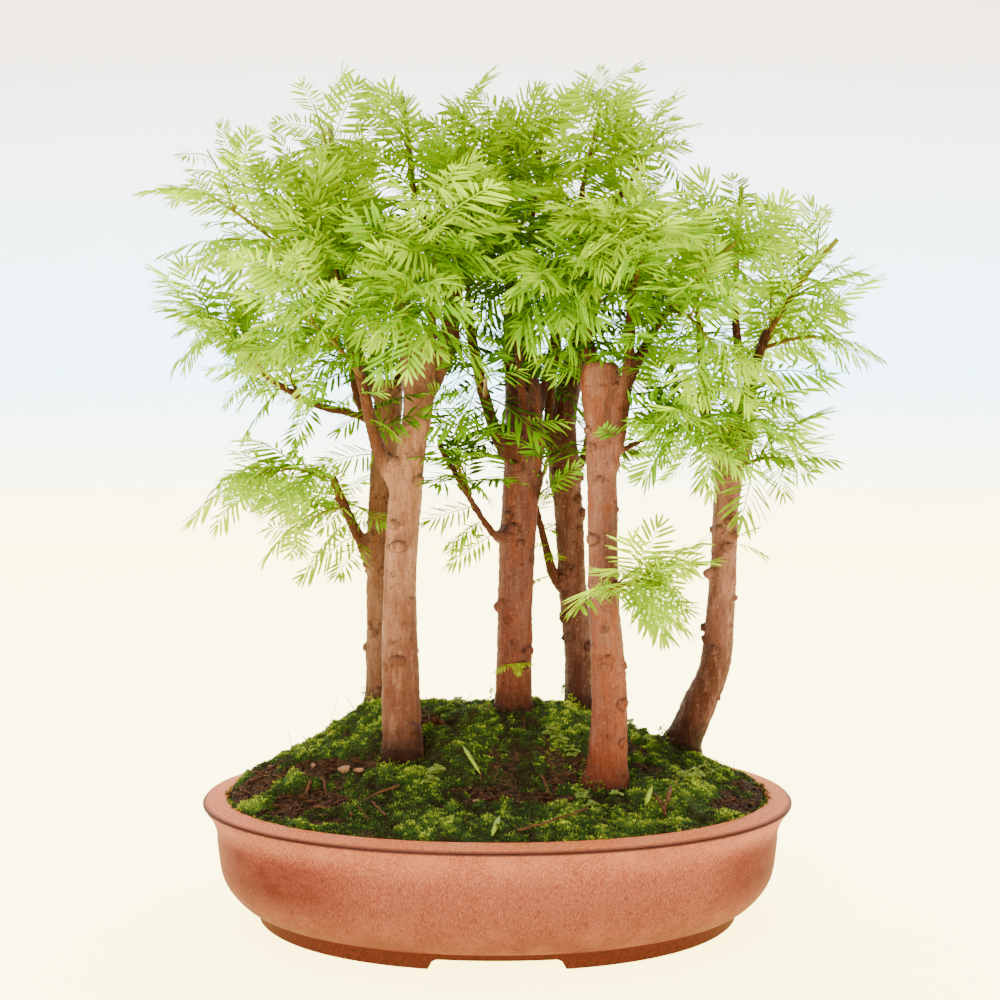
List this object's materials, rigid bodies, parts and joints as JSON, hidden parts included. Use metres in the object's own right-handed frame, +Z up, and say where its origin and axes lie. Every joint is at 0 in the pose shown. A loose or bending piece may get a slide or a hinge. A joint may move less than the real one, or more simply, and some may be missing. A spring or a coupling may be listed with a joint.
{
  "type": "dawn redwood bonsai forest",
  "caption": "Group of dawn redwood trees with feathery needle sprays, rooted in a mossy mound of soil in an oval glazed tray on low feet.",
  "frame": {"origin": "on the surface that the tray stands on, under the middle of the whole plant's box", "axes": "+Z up, +X along the oval tray's length to the right as seen from the front, +Y from the front to the back"},
  "size_m": [0.35, 0.2282, 0.3929],
  "materials": {
    "glaze": "satin",
    "screen_plastic": "matte",
    "earth": "matte",
    "moss_green": "matte",
    "bark": "matte",
    "leaf_green": "satin"
  },
  "bodies": {
    "root": {"drain_screen_left": "screen_plastic", "drain_screen_right": "screen_plastic", "moss": "moss_green", "shoot_back_left_1": "leaf_green", "shoot_back_left_2": "leaf_green", "shoot_back_left_3": "leaf_green", "shoot_back_left_4": "leaf_green", "shoot_back_left_5": "leaf_green", "shoot_back_left_6": "leaf_green", "shoot_back_left_7": "leaf_green", "shoot_back_left_8": "leaf_green", "shoot_back_left_9": "leaf_green", "shoot_back_right_1": "leaf_green", "shoot_back_right_2": "leaf_green", "shoot_back_right_3": "leaf_green", "shoot_back_right_4": "leaf_green", "shoot_back_right_5": "leaf_green", "shoot_centre_1": "leaf_green", "shoot_centre_2": "leaf_green", "shoot_centre_3": "leaf_green", "shoot_centre_4": "leaf_green", "shoot_centre_5": "leaf_green", "shoot_centre_6": "leaf_green", "shoot_centre_7": "leaf_green", "shoot_centre_8": "leaf_green", "shoot_front_left_1": "leaf_green", "shoot_front_left_2": "leaf_green", "shoot_front_left_3": "leaf_green", "shoot_front_left_4": "leaf_green", "shoot_front_left_5": "leaf_green", "shoot_front_left_6": "leaf_green", "shoot_front_left_7": "leaf_green", "shoot_front_left_8": "leaf_green", "shoot_front_left_9": "leaf_green", "shoot_front_right_1": "leaf_green", "shoot_front_right_2": "leaf_green", "shoot_front_right_3": "leaf_green", "shoot_front_right_4": "leaf_green", "shoot_front_right_5": "leaf_green", "shoot_front_right_6": "leaf_green", "shoot_front_right_7": "leaf_green", "shoot_front_right_8": "leaf_green", "shoot_front_right_9": "leaf_green", "shoot_right_1": "leaf_green", "shoot_right_2": "leaf_green", "shoot_right_3": "leaf_green", "shoot_right_4": "leaf_green", "shoot_right_5": "leaf_green", "shoot_right_6": "leaf_green", "shoot_right_7": "leaf_green", "soil": "earth", "tray": "glaze", "tree_back_left": "bark", "tree_back_right": "bark", "tree_centre": "bark", "tree_front_left": "bark", "tree_front_right": "bark", "tree_right": "bark"}
  },
  "joints": []
}
